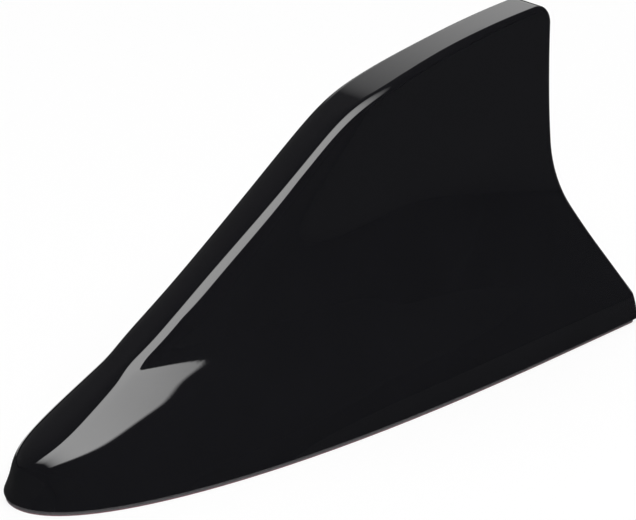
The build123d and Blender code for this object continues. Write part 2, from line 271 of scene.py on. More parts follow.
class FinForm:
    """The fin's outer skin as a distance in millimetres, negative inside."""

    step = 0.05
    spacing = 0.5
    trail_overrun = 3.0
    hit_steps = 16
    hit_margin = 0.02

    def __init__(self, edge_radius, trail_radius, crest_radius):
        self.edge_radii = (edge_radius, trail_radius)
        self.crest_radius = crest_radius
        heights = RIM + HEIGHT * LEVELS[:, 0]
        self.front = Spline(heights, LENGTH * (LEVELS[:, 1] - 0.5))
        self.fullness = Spline(heights, LEVELS[:, 2] * WIDTH / 2.0)
        self.middle = Spline(heights, LEVELS[:, 3] * WIDTH / 2.0)
        self.rear = Spline(heights, LEVELS[:, 4] * TAIL_WIDTH / 2.0)
        self.reach = Spline(heights, LEVELS[:, 5])
        crest = arc_through(CREST_KINK, CREST_MIDDLE, CREST_END)
        bend = corner_arc(LEAD_START, LEAD_BEND, CREST_KINK, BEND_RADIUS)
        just_behind_kink = crest[4]
        kink = corner_arc(LEAD_BEND, CREST_KINK, just_behind_kink, KINK_RADIUS)
        rest = crest[crest[:, 0] > kink[-1, 0] + self.spacing]
        line = np.concatenate(((LEAD_START,), bend, kink, rest))
        along = np.arange(LEAD_START[0], CREST_END[0] + self.spacing, self.spacing)
        self.spine = Spline(along, softened(np.interp(along, line[:, 0], line[:, 1])))
        waist = corner_arc(CREST_END, TRAIL_WAIST, TAIL_FOOT, WAIST_RADIUS)
        foot = corner_arc(TRAIL_WAIST, TAIL_FOOT, TAIL_RIM, FOOT_RADIUS)
        line = np.concatenate(((TAIL_RIM,), foot[::-1], waist[::-1], (CREST_END,)))
        rise = np.arange(RIM, CREST_END[1] + self.trail_overrun, self.spacing)
        self.trail = Spline(rise, np.interp(rise, line[:, 1], line[:, 0]))

    def half_width_squared(self, x, z):
        """Square of the flank's distance from the middle plane; it goes on below zero ahead of the front."""
        front_x = self.front(z)
        middle_x = LENGTH * (WIDEST_SHARE + WIDEST_DRIFT * (z - RIM) / HEIGHT - 0.5)
        rear_x = LENGTH / 2.0 + TAIL_OVERRUN
        fullness = self.fullness(z)
        middle_y = self.middle(z)
        rear_y = self.rear(z)
        pull = 1.0 - self.reach(z)
        share = (x - front_x) / (middle_x - front_x)
        ahead = np.clip(share, 0.0, 1.0)
        time = curve_time(ahead, np.sqrt(ahead), 0.0, pull)
        rest = 1.0 - time
        front_half = 3.0 * rest**2 * time * fullness + (3.0 * rest * time**2 + time**3) * middle_y
        behind = np.clip((x - middle_x) / (rear_x - middle_x), 0.0, 1.0)
        time = curve_time(behind, behind, REAR_REACH, 1.0 - REAR_REACH)
        rest = 1.0 - time
        bowed_y = rear_y + REAR_BOW * REAR_REACH * (middle_y - rear_y)
        rear_half = (rest**3 + 3.0 * rest**2 * time) * middle_y
        rear_half = rear_half + 3.0 * rest * time**2 * bowed_y + time**3 * rear_y
        half = np.where(share < 1.0, front_half, rear_half)
        return np.where(share < 0.0, 3.0 * fullness**2 * share / pull, half**2)

    def distance(self, points):
        """About how far points lie outside the skin."""
        x, y, z = points[..., 0], points[..., 1], points[..., 2]
        step = self.step
        low = np.maximum(z - step, RIM)
        high = np.maximum(z, RIM) + step
        slope_x = (self.half_width_squared(x + step, z) - self.half_width_squared(x - step, z)) / (2.0 * step)
        slope_z = (self.half_width_squared(x, high) - self.half_width_squared(x, low)) / (high - low)
        steepness = np.sqrt(slope_x**2 + 4.0 * y**2 + slope_z**2) + 1e-6
        flank = (y**2 - self.half_width_squared(x, z)) / steepness
        spine = (z - self.spine(x)) / np.hypot(1.0, self.spine.slope(x, step))
        trail = (x - self.trail(z)) / np.hypot(1.0, self.trail.slope(z, step))
        edge_radius = np.interp(x, TIGHTENING, self.edge_radii)
        return rounded(flank, rounded(spine, trail, self.crest_radius), edge_radius)

    def normals(self, points):
        """The skin's outward directions at points on it, taken just above the rim for those on the rim."""
        points = np.concatenate((points[..., :2], np.maximum(points[..., 2:], RIM + self.step)), axis=-1)
        pulls = []
        for axis in np.eye(3) * self.step:
            pulls.append(self.distance(points + axis) - self.distance(points - axis))
        normals = np.stack(pulls, axis=-1)
        return normals / np.linalg.norm(normals, axis=-1, keepdims=True)

    def hits(self, origins, ways, inset):
        """Where rays from inside reach the skin, or the wall's inner face at that inset."""
        near = np.zeros(ways.shape[:-1])
        far = np.full(ways.shape[:-1], LENGTH)
        near_gap = self.distance(origins) + inset(origins)
        far_gap = self.distance(origins + ways * far[..., None]) + inset(origins)
        was_inside = np.full(ways.shape[:-1], True)
        for _ in range(self.hit_steps):
            share = np.clip(near_gap / (near_gap - far_gap), self.hit_margin, 1.0 - self.hit_margin)
            guess = near + (far - near) * share
            points = origins + ways * guess[..., None]
            gap = self.distance(points) + inset(points)
            inside = gap < 0.0
            near_gap = np.where(inside, gap, np.where(was_inside, near_gap, near_gap / 2.0))
            far_gap = np.where(inside, np.where(was_inside, far_gap / 2.0, far_gap), gap)
            near = np.where(inside, guess, near)
            far = np.where(inside, far, guess)
            was_inside = inside
        return points


class FinSkin:
    """A grid of points on one half of the fin: a row for each station, from the rim to the middle plane."""

    columns = 72
    trial_columns = 150
    crowding = 1.8
    turn_weight = 25.0
    origin_reach = 56.0

    def __init__(self, form):
        self.form = form
        walk = [NOSE_RIM]
        for end, steps in STATIONS:
            start = walk[-1]
            walk.extend(start + (end - start) * step / steps for step in range(1, steps + 1))
        walk = np.array(walk)
        gone = np.concatenate(((0.0,), np.cumsum(np.linalg.norm(np.diff(walk, axis=0), axis=1))))
        self.centre_x = self.origin_reach * (2.0 * gone / gone[-1] - 1.0)
        ways = walk - np.stack((self.centre_x, np.full(len(walk), RIM)), axis=1)
        self.ways = ways / np.linalg.norm(ways, axis=1, keepdims=True)
        self.angles = self.spread()

    def cast(self, angles, inset):
        """Points where rays at those angles above the floor, one row for each station, reach the skin."""
        up = np.sin(angles)
        ways = np.stack((self.ways[:, :1] * up, -np.cos(angles), self.ways[:, 1:] * up), axis=-1)
        origins = np.zeros_like(ways)
        origins[..., 0] = self.centre_x[:, None]
        origins[..., 2] = RIM
        return self.form.hits(origins, ways, inset)

    def spread(self):
        """Angles that set the columns closer together where the skin turns."""
        share = np.linspace(1.0, 0.0, self.trial_columns)
        trial = np.tile(math.pi / 2.0 * (1.0 - share**self.crowding), (len(self.ways), 1))
        points = self.cast(trial, no_inset)
        normals = self.form.normals(points)
        runs = np.linalg.norm(np.diff(points, axis=1), axis=2)
        turns = np.linalg.norm(np.diff(normals, axis=1), axis=2)
        weights = np.cumsum(runs + self.turn_weight * turns, axis=1)
        weights = np.concatenate((np.zeros((len(weights), 1)), weights), axis=1)
        even = np.linspace(0.0, 1.0, self.columns)
        return np.array([np.interp(even * row[-1], row, angles) for row, angles in zip(weights, trial)])

    def whole(self, inset):
        """The grid's points on both sides of the middle plane, from one rim to the other."""
        half = self.cast(self.angles, inset)
        half[:, -1, 1] = 0.0
        return np.concatenate((half, half[:, -2::-1] * np.array((1.0, -1.0, 1.0))), axis=1)


class Value:
    """A number socket that takes part in Python arithmetic; each operation adds one Math node."""

    def __init__(self, finish, socket):
        self.finish = finish
        self.socket = socket

    def __add__(self, other):
        return self.finish.math("ADD", self, other)

    def __radd__(self, other):
        return self.finish.math("ADD", other, self)

    def __sub__(self, other):
        return self.finish.math("SUBTRACT", self, other)

    def __rsub__(self, other):
        return self.finish.math("SUBTRACT", other, self)

    def __mul__(self, other):
        return self.finish.math("MULTIPLY", self, other)

    def __rmul__(self, other):
        return self.finish.math("MULTIPLY", other, self)

    def __truediv__(self, other):
        return self.finish.math("DIVIDE", self, other)

    def __rtruediv__(self, other):
        return self.finish.math("DIVIDE", other, self)

    def __gt__(self, other):
        return self.finish.math("GREATER_THAN", self, other)

    def __abs__(self):
        return self.finish.math("ABSOLUTE", self, 0.0)

    def highest(self, other):
        """The larger of this number and another."""
        return self.finish.math("MAXIMUM", self, other)

    def lowest(self, other):
        """The smaller of this number and another."""
        return self.finish.math("MINIMUM", self, other)


class Finish:
    """The node tree of one surface finish, of the room or of a lamp."""

    def __init__(self, owner):
        self.owner = owner
        owner.use_nodes = True
        self.tree = owner.node_tree
        self.tree.nodes.clear()

    def node(self, kind, settings=None, inputs=None):
        """Adds a node, sets its settings, then sets or links its sockets."""
        made = self.tree.nodes.new(kind)
        for key, setting in (settings or {}).items():
            setattr(made, key, setting)
        for key, given in (inputs or {}).items():
            socket = made.inputs[key]
            source = given.socket if isinstance(given, Value) else given
            if isinstance(source, bpy.types.NodeSocket):
                self.tree.links.new(source, socket)
            else:
                socket.default_value = source
        return made

    def math(self, operation, first, second):
        """One Math node on two numbers or sockets."""
        made = self.node("ShaderNodeMath", {"operation": operation}, {0: first, 1: second})
        return Value(self, made.outputs[0])

    def place(self):
        """Object coordinates, which are metres in the part's own frame."""
        return self.node("ShaderNodeTexCoord").outputs["Object"]

    def axis(self, name):
        """One of the object coordinates."""
        made = self.node("ShaderNodeSeparateXYZ", inputs={"Vector": self.place()})
        return Value(self, made.outputs[name])

    def scaled(self, stretch):
        """Object coordinates multiplied by one number for each axis."""
        made = self.node("ShaderNodeVectorMath", {"operation": "MULTIPLY"}, {0: self.place(), 1: stretch})
        return made.outputs["Vector"]

    def noise(self, scale, detail=2.0, stretch=(1.0, 1.0, 1.0)):
        """Soft cloudy noise from 0 to 1 at that many cells to a metre."""
        inputs = {"Vector": self.scaled(stretch), "Scale": scale, "Detail": detail}
        made = self.node("ShaderNodeTexNoise", inputs=inputs)
        return Value(self, made.outputs[0])

    def cells(self, scale, feature="F1"):
        """Distance to the nearest cell point or cell edge, at that many cells to a metre."""
        inputs = {"Vector": self.place(), "Scale": scale}
        made = self.node("ShaderNodeTexVoronoi", {"feature": feature}, inputs)
        return Value(self, made.outputs["Distance"])

    def bands(self, direction, scale):
        """Even ripples from 0 to 1 across one axis, at that many to a metre over twenty."""
        settings = {"wave_type": "BANDS", "bands_direction": direction}
        made = self.node("ShaderNodeTexWave", settings, {"Vector": self.place(), "Scale": scale})
        return Value(self, made.outputs["Fac"])

    def mix(self, factor, first, second):
        """A colour that goes from the first to the second."""
        made = self.node("ShaderNodeMix", {"data_type": "RGBA"}, {0: factor, 6: first, 7: second})
        return made.outputs[2]

    def bump(self, height, depth):
        """A normal raised by the height socket, with its depth in metres."""
        made = self.node("ShaderNodeBump", inputs={"Height": height, "Distance": depth})
        return made.outputs["Normal"]

    def principled(self, **sockets):
        """A Principled shader; constants go on its own sockets."""
        inputs = {key.replace("_", " "): given for key, given in sockets.items()}
        return self.node("ShaderNodeBsdfPrincipled", inputs=inputs).outputs[0]

    def close(self, shader):
        """Ends the tree in that shader."""
        self.node("ShaderNodeOutputMaterial", inputs={"Surface": shader})
        return self.owner

    def surface(self, **sockets):
        """Ends the tree in a Principled shader."""
        return self.close(self.principled(**sockets))


def new_finish(name):
    """The empty node tree of a new material."""
    return Finish(bpy.data.materials.new(name))


def rgba(colour, gain=1.0):
    """A property's colour as the four numbers that a socket takes."""
    return (colour[0] * gain, colour[1] * gain, colour[2] * gain, 1.0)


def dress(node, material):
    """Puts one material on all of a CAD node."""
    mesh = NODES[node].data
    mesh.materials.clear()
    mesh.materials.append(material)


def colour_property(name, description, default):
    """A colour that a user may change."""
    return FloatVectorProperty(
        name=name, description=description, default=default, size=3, min=0.0, max=1.0, subtype="COLOR"
    )


def length_property(name, description, default):
    """A length in metres that a user may change."""
    return FloatProperty(
        name=name, description=description, default=default, min=0.0, unit="LENGTH", precision=5
    )


class CoverSettings(bpy.types.PropertyGroup):
    """The gloss cover's form and finish."""

    edge_radius: length_property("Edge radius", "Round of the spine's two edges", 0.00165)
    trail_radius: length_property("Trail radius", "Round of the trailing edges", 0.0012)
    crest_radius: length_property("Crest radius", "Round of the crest's rear corner in side view", 0.0045)
    wall: length_property("Wall", "Thickness of the cover's wall", 0.0022)
    rim_wall: length_property("Rim wall", "Thickness of the wall beside the base plate", 0.0004)
    peel_depth: length_property("Peel depth", "Depth of the faint ripple in the lacquer", 0.0000004)
    colour: colour_property("Colour", "Colour of the moulded cover", (0.0066, 0.0066, 0.0080))
    roughness: FloatProperty(
        name="Roughness", description="How soft the cover's reflections are", default=0.04, min=0.0, max=1.0
    )


class FootSettings(bpy.types.PropertyGroup):
    """The base plate, foam pad, film and grommet."""

    plate_colour: colour_property("Plate", "Colour of the base plate", (0.022, 0.022, 0.024))
    foam_colour: colour_property("Foam", "Colour of the foam pad", (0.12, 0.115, 0.12))
    film_colour: colour_property("Film", "Colour of the peel-off film", (0.20, 0.07, 0.09))
    rubber_colour: colour_property("Grommet", "Colour of the lead grommet", (0.015, 0.015, 0.016))


class BoardSettings(bpy.types.PropertyGroup):
    """The two boards, what is soldered on them and the screws."""

    mask_colour: colour_property("Mask", "Colour of the boards' coating", (0.015, 0.13, 0.055))
    copper_colour: colour_property("Copper", "Colour of bare copper", (0.80, 0.40, 0.24))
    tin_colour: colour_property("Tin", "Colour of tinned and plated steel", (0.68, 0.68, 0.67))
    ceramic_colour: colour_property("Ceramic", "Colour of the chip capacitors", (0.48, 0.36, 0.24))
    nylon_colour: colour_property("Nylon", "Colour of the lead socket", (0.80, 0.78, 0.71))
    brass_colour: colour_property("Brass", "Colour of the socket's pins", (0.80, 0.62, 0.30))


class StageSettings(bpy.types.PropertyGroup):
    """The floor, the lamps and the camera."""

    floor_colour: colour_property("Floor", "Colour of the pale floor", (0.90, 0.90, 0.90))
    floor_radius: length_property("Floor radius", "Radius of the flat floor", 2.6)
    cove_height: length_property("Cove height", "Height of the floor's upturned edge", 0.32)
    floor_glow: FloatProperty(
        name="Floor glow",
        description="Share of plain white in what is seen of the floor",
        default=0.85,
        min=0.0,
        max=1.0,
    )
    key_strength: FloatProperty(
        name="Key strength",
        description="Brightness of the overhead box's centre, white being 1",
        default=2.72,
        min=0.0,
    )
    fill_strength: FloatProperty(
        name="Fill strength", description="Brightness of the wide fill above the floor", default=1.0
    )
    back_strength: FloatProperty(
        name="Back strength", description="Brightness of the soft glow behind the tail", default=0.94
    )
    room_strength: FloatProperty(
        name="Room strength", description="Brightness of the room around the stage", default=0.02
    )
    lens: FloatProperty(name="Lens", description="Focal length of the camera, in millimetres", default=283.0)


class AERIAL_OT_build_cover(bpy.types.Operator):
    """Model the hollow fin cover and give it its gloss black moulded finish"""

    bl_idname = "aerial.build_cover"
    bl_label = "Build cover"

    def execute(self, context):
        settings = context.scene.aerial_cover
        radii = (settings.edge_radius, settings.trail_radius, settings.crest_radius)
        form = FinForm(*(radius / MILLIMETRE for radius in radii))
        mesh = self.shell(form, settings)
        mesh.materials.append(self.gloss_plastic(settings))
        cover = bpy.data.objects.new("gloss_fin_cover", mesh)
        context.scene.collection.objects.link(cover)
        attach(cover, "root")
        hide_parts("fin_cover")
        return {"FINISHED"}

    def shell(self, form, settings):
        """A closed shell of an outer skin, an inner skin and the rim between them."""
        wall = settings.wall / MILLIMETRE
        rim_wall = settings.rim_wall / MILLIMETRE

        def wall_inset(places):
            share = np.clip((places[..., 2] - LEDGE) / LEDGE_BLEND, 0.0, 1.0)
            return rim_wall + (wall - rim_wall) * share

        skin = FinSkin(form)
        outer = skin.whole(no_inset)
        inner = skin.whole(wall_inset)
        rows, columns = outer.shape[:2]
        index = np.arange(rows * columns).reshape(rows, columns)
        corners = (index[:-1, :-1], index[1:, :-1], index[1:, 1:], index[:-1, 1:])
        quads = np.stack(corners, axis=-1).reshape(-1, 4)
        loop = np.concatenate((index[:-1, 0], index[-1, :-1], index[:0:-1, -1], index[0, :0:-1]))
        ahead = np.roll(loop, -1)
        shift = rows * columns
        rim = np.stack((loop, loop + shift, ahead + shift, ahead), axis=-1)
        faces = np.concatenate((quads, quads[:, ::-1] + shift, rim))
        points = np.concatenate((outer.reshape(-1, 3), inner.reshape(-1, 3)))
        mesh = bpy.data.meshes.new("gloss_fin_cover")
        mesh.from_pydata(points * MILLIMETRE, (), faces.tolist())
        mesh.shade_smooth()
        outward = form.normals(points)
        outward[shift:] *= -1.0
        corner_normals = outward[faces]
        corner_normals[-len(rim):] = (0.0, 0.0, -1.0)
        mesh.normals_split_custom_set(corner_normals.reshape(-1, 3).tolist())
        return mesh

    def gloss_plastic(self, settings):
        finish = new_finish("gloss_black_plastic")
        cloud = finish.noise(scale=60.0, detail=3.0)
        tone = finish.mix(cloud, rgba(settings.colour, 0.85), rgba(settings.colour, 1.15))
        wipe_marks = finish.noise(scale=420.0, detail=3.0, stretch=(0.25, 1.0, 1.0))
        return finish.surface(
            Base_Color=tone,
            Roughness=settings.roughness * (0.7 + 0.6 * wipe_marks),
            IOR=1.6,
            Coat_Weight=0.9 + 0.1 * cloud,
            Coat_Roughness=0.03,
            Coat_IOR=1.6,
            Normal=finish.bump(finish.noise(scale=380.0, detail=1.0), settings.peel_depth),
        )


class AERIAL_OT_dress_foot(bpy.types.Operator):
    """Give the base plate, foam pad, film and grommet their finishes"""

    bl_idname = "aerial.dress_foot"
    bl_label = "Dress foot"

    def execute(self, context):
        settings = context.scene.aerial_foot
        dress("base_plate", self.spark_plastic(settings))
        dress("adhesive_pad", self.foam(settings))
        dress("release_liner", self.film(settings))
        dress("lead_grommet", self.rubber(settings))
        return {"FINISHED"}

    def spark_plastic(self, settings):
        finish = new_finish("spark_textured_plastic")
        grain = finish.noise(scale=5200.0, detail=3.0)
        tone = finish.mix(grain, rgba(settings.plate_colour, 0.8), rgba(settings.plate_colour, 1.25))
        return finish.surface(
            Base_Color=tone,
            Roughness=0.42 + 0.2 * grain,
            Normal=finish.bump(grain, depth=0.00004),
        )

    def foam(self, settings):
        finish = new_finish("closed_cell_foam")
        cells = finish.cells(scale=3600.0)
        tone = finish.mix(cells, rgba(settings.foam_colour, 0.75), rgba(settings.foam_colour, 1.2))
        return finish.surface(
            Base_Color=tone,
            Roughness=0.8 + 0.15 * finish.noise(scale=1500.0),
            Normal=finish.bump(cells, depth=0.00008),
        )

    def film(self, settings):
        finish = new_finish("peel_off_film")
        haze = finish.noise(scale=140.0, detail=3.0)
        tone = finish.mix(haze, rgba(settings.film_colour, 0.85), rgba(settings.film_colour, 1.1))
        return finish.surface(
            Base_Color=tone,
            Roughness=0.28 + 0.14 * haze,
            Normal=finish.bump(finish.noise(scale=90.0, detail=2.0), depth=0.00003),
        )

    def rubber(self, settings):
        finish = new_finish("moulded_rubber")
        bloom = finish.noise(scale=900.0, detail=4.0)
        tone = finish.mix(bloom, rgba(settings.rubber_colour, 0.8), rgba(settings.rubber_colour, 1.7))
        return finish.surface(
            Base_Color=tone,
            Roughness=0.62 + 0.2 * bloom,
            Normal=finish.bump(finish.noise(scale=3000.0, detail=2.0), depth=0.00003),
        )


class AERIAL_OT_dress_boards(bpy.types.Operator):
    """Give the main board, the antenna board and its copper trace their finishes"""

    bl_idname = "aerial.dress_boards"
    bl_label = "Dress boards"

    def execute(self, context):
        settings = context.scene.aerial_boards
        dress("main_board", self.solder_mask(settings, "tracked_solder_mask", 420.0, 1.0))
        dress("antenna_board", self.solder_mask(settings, "plain_solder_mask", 1100.0, 0.75))
        dress("antenna_trace", self.copper_foil(settings))
        return {"FINISHED"}

    def solder_mask(self, settings, name, scale, gain):
        """Green coating with the tracks under it standing out a little."""
        finish = new_finish(name)
        tracks = finish.cells(scale, "DISTANCE_TO_EDGE") > 0.06
        weave = finish.noise(scale=4200.0, detail=2.0, stretch=(1.0, 0.3, 1.0))
        shade = 0.55 * tracks + 0.45 * weave
        light = rgba(settings.mask_colour, 1.5 * gain)
        dark = rgba(settings.mask_colour, 0.8 * gain)
        tone = finish.mix(shade, light, dark)
        return finish.surface(
            Base_Color=tone,
            Roughness=0.24 + 0.16 * weave,
            Normal=finish.bump(1.0 - tracks, depth=0.00003),
        )

    def copper_foil(self, settings):
        finish = new_finish("bare_copper_foil")
        tarnish = finish.noise(scale=260.0, detail=4.0)
        rolling = finish.noise(scale=900.0, detail=2.0, stretch=(0.1, 1.0, 1.0))
        tone = finish.mix(tarnish, rgba(settings.copper_colour), rgba(settings.copper_colour, 0.55))
        return finish.surface(
            Base_Color=tone,
            Metallic=1.0,
            Roughness=0.22 + 0.22 * tarnish,
            Normal=finish.bump(rolling, depth=0.000004),
        )


class AERIAL_OT_dress_components(bpy.types.Operator):
    """Give the shield can, chip, capacitors, chokes and lead socket their finishes"""

    bl_idname = "aerial.dress_components"
    bl_label = "Dress components"

    def execute(self, context):
        settings = context.scene.aerial_boards
        dress("shield_can", self.tin_plate(settings))
        dress("amplifier_chip", self.epoxy())
        dress("chip_capacitors", self.ceramic(settings))
        dress("choke_cores", self.ferrite())
        dress("choke_windings", self.windings(settings))
        dress("can_capacitors", self.drawn_can(settings))
        dress("lead_socket", self.nylon(settings))
        dress("socket_pins", self.plated_brass(settings))
        return {"FINISHED"}

    def tin_plate(self, settings):
        finish = new_finish("tinned_sheet")
        spangle = finish.cells(scale=520.0)
        smear = finish.noise(scale=700.0, detail=3.0, stretch=(0.2, 1.0, 1.0))
        tone = finish.mix(spangle, rgba(settings.tin_colour, 0.9), rgba(settings.tin_colour, 1.1))
        return finish.surface(
            Base_Color=tone,
            Metallic=1.0,
            Roughness=0.24 + 0.2 * smear,
            Normal=finish.bump(smear, depth=0.000006),
        )

    def epoxy(self):
        finish = new_finish("moulded_epoxy")
        grain = finish.noise(scale=6000.0, detail=3.0)
        tone = finish.mix(grain, (0.014, 0.014, 0.015, 1.0), (0.028, 0.028, 0.030, 1.0))
        return finish.surface(
            Base_Color=tone,
            Roughness=0.55 + 0.15 * grain,
            Normal=finish.bump(grain, depth=0.00001),
        )

    def ceramic(self, settings):
        """Tan bodies with tinned ends; the two rows lie equally far from the middle of the group."""
        low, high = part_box("chip_capacitors")
        body_length = 0.002
        end_length = 0.00042
        row_reach = (high.x - low.x - body_length) / 2.0
        finish = new_finish("fired_ceramic")
        from_row = abs(abs(finish.axis("X") - (low.x + high.x) / 2.0) - row_reach)
        ends = from_row > body_length / 2.0 - end_length
        grain = finish.noise(scale=5200.0, detail=3.0)
        body = finish.mix(grain, rgba(settings.ceramic_colour, 0.85), rgba(settings.ceramic_colour, 1.15))
        tone = finish.mix(ends, body, rgba(settings.tin_colour))
        return finish.surface(
            Base_Color=tone,
            Metallic=ends,
            Roughness=0.55 - 0.25 * ends + 0.1 * grain,
            Normal=finish.bump(grain, depth=0.000008),
        )

    def ferrite(self):
        finish = new_finish("ground_ferrite")
        specks = finish.cells(scale=3800.0)
        tone = finish.mix(specks, (0.045, 0.045, 0.048, 1.0), (0.09, 0.09, 0.095, 1.0))
        return finish.surface(
            Base_Color=tone,
            Roughness=0.5 + 0.2 * specks,
            Normal=finish.bump(specks, depth=0.00001),
        )

    def windings(self, settings):
        """Turns of enamelled wire, one above the other, with painted shade darkening the colour in the
        grooves between the turns.
        """
        finish = new_finish("enamelled_wire")
        turns = finish.bands("Z", scale=160.0)
        # The colour follows the same bands as the relief, darker in the grooves: painted shade between the
        # turns.
        tone = finish.mix(turns, rgba(settings.copper_colour, 0.35), rgba(settings.copper_colour, 0.8))
        return finish.surface(
            Base_Color=tone,
            Metallic=0.85,
            Roughness=0.24 + 0.1 * finish.noise(scale=1500.0),
            Normal=finish.bump(turns, depth=0.00012),
        )

    def drawn_can(self, settings):
        """Bright cans on black moulded bases."""
        base_height = 0.0008
        base_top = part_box("can_capacitors")[0].z + base_height
        finish = new_finish("drawn_aluminium")
        can = finish.axis("Z") > base_top
        draw_lines = finish.noise(scale=2600.0, detail=2.0, stretch=(1.0, 1.0, 0.06))
        bright = finish.mix(draw_lines, rgba(settings.tin_colour, 1.0), rgba(settings.tin_colour, 1.25))
        tone = finish.mix(can, (0.02, 0.02, 0.021, 1.0), bright)
        return finish.surface(
            Base_Color=tone,
            Metallic=can,
            Roughness=0.5 - 0.24 * can + 0.1 * draw_lines,
            Normal=finish.bump(draw_lines, depth=0.000005),
        )

    def nylon(self, settings):
        finish = new_finish("moulded_nylon")
        flow = finish.noise(scale=800.0, detail=3.0)
        tone = finish.mix(flow, rgba(settings.nylon_colour, 0.94), rgba(settings.nylon_colour, 1.04))
        return finish.surface(
            Base_Color=tone,
            Roughness=0.42 + 0.12 * flow,
            Normal=finish.bump(flow, depth=0.000012),
        )

    def plated_brass(self, settings):
        finish = new_finish("plated_brass")
        drawing = finish.noise(scale=2400.0, detail=2.0, stretch=(0.08, 1.0, 1.0))
        tone = finish.mix(drawing, rgba(settings.brass_colour, 0.9), rgba(settings.brass_colour, 1.1))
        return finish.surface(
            Base_Color=tone,
            Metallic=1.0,
            Roughness=0.2 + 0.14 * drawing,
            Normal=finish.bump(drawing, depth=0.000003),
        )


class AERIAL_OT_dress_screws(bpy.types.Operator):
    """Give the base screws and the board screws their zinc plated finish"""

    bl_idname = "aerial.dress_screws"
    bl_label = "Dress screws"

    def execute(self, context):
        settings = context.scene.aerial_boards
        finish = new_finish("zinc_plated_steel")
        bloom = finish.noise(scale=900.0, detail=4.0)
        turning = finish.noise(scale=3000.0, detail=2.0, stretch=(1.0, 1.0, 0.2))
        tone = finish.mix(bloom, rgba(settings.tin_colour, 1.05), rgba(settings.tin_colour, 0.7))
        material = finish.surface(
            Base_Color=tone,
            Metallic=1.0,
            Roughness=0.26 + 0.22 * bloom,
            Normal=finish.bump(turning, depth=0.000008),
        )
        dress("base_screws", material)
        dress("board_screws", material)
        return {"FINISHED"}


